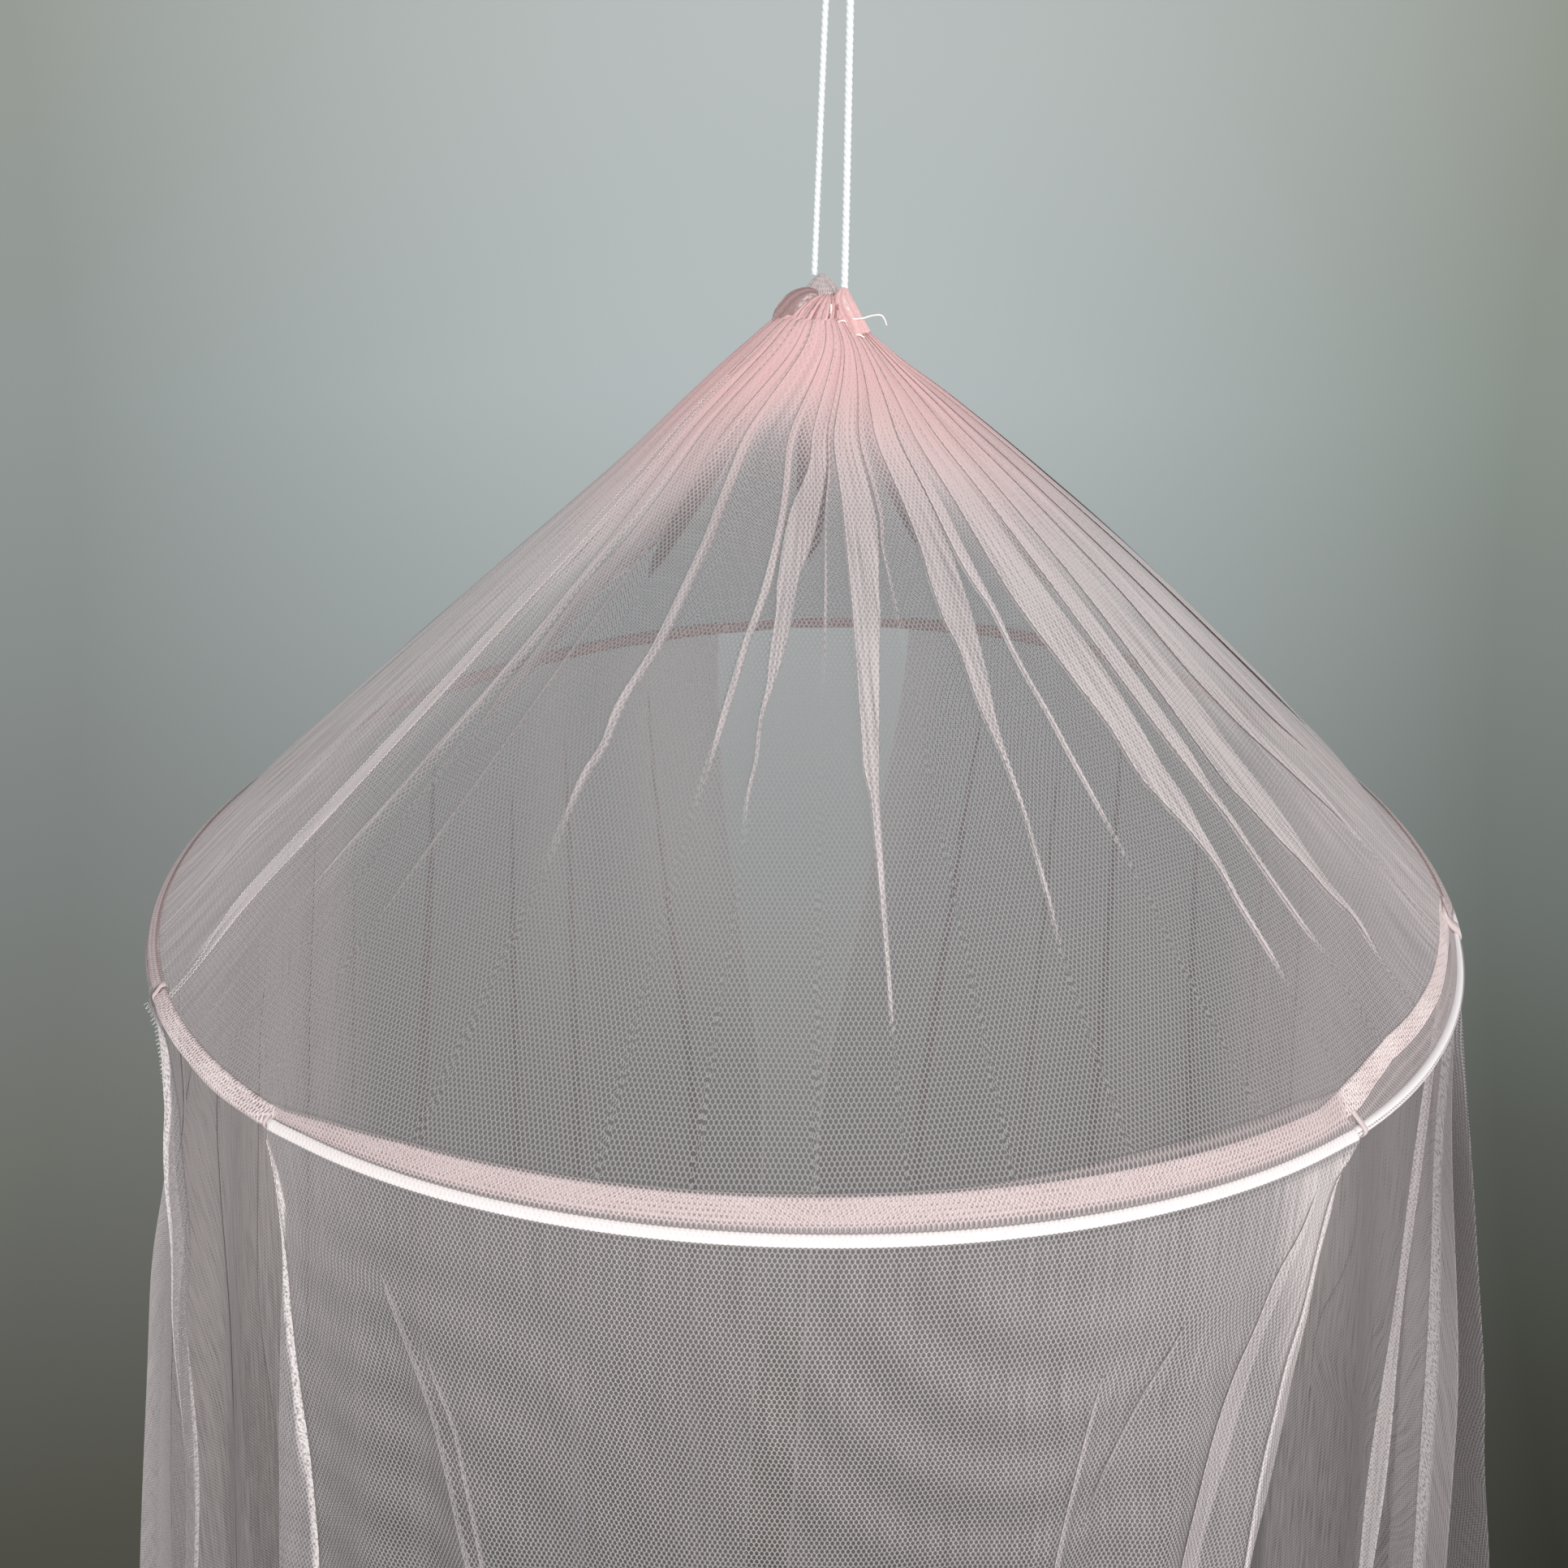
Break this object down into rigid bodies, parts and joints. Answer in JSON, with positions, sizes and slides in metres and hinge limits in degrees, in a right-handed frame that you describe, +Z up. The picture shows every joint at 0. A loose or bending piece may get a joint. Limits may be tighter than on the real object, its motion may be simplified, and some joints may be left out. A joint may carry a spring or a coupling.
{
  "type": "mosquito net canopy on a hoop",
  "caption": "Round hanging bed net: a cone of fine net gathered at the crown, a stitched band on a wire hoop and a long open-sided skirt, hung by a looped cord.",
  "frame": {"origin": "the hang point, on the inside of the top of the cord's loop", "axes": "+Z up along the hanging axis, -Y towards the front of the canopy (its widest view with the front panel), +X to the right as seen from the front"},
  "size_m": [1.196, 1.1523, 2.4525],
  "materials": {
    "net": "fine knitted polyester net, pale pink, see-through",
    "band": "several layers of pink net, folded and stitched",
    "tape": "narrow folded net, stitched",
    "hoop_coating": "white plastic coating on spring wire",
    "cord": "white twisted cord, slightly bluish"
  },
  "bodies": {
    "root": {"hang_cord": "cord", "cone_net": "net", "casing_band": "band", "hoop": "hoop_coating", "front_panel": "net", "right_panel": "net", "left_panel": "net", "tab_front_left": "tape", "tab_front_right": "tape", "tab_right": "tape", "tab_back_right": "tape", "tab_back_left": "tape", "tab_left": "tape"}
  },
  "joints": []
}
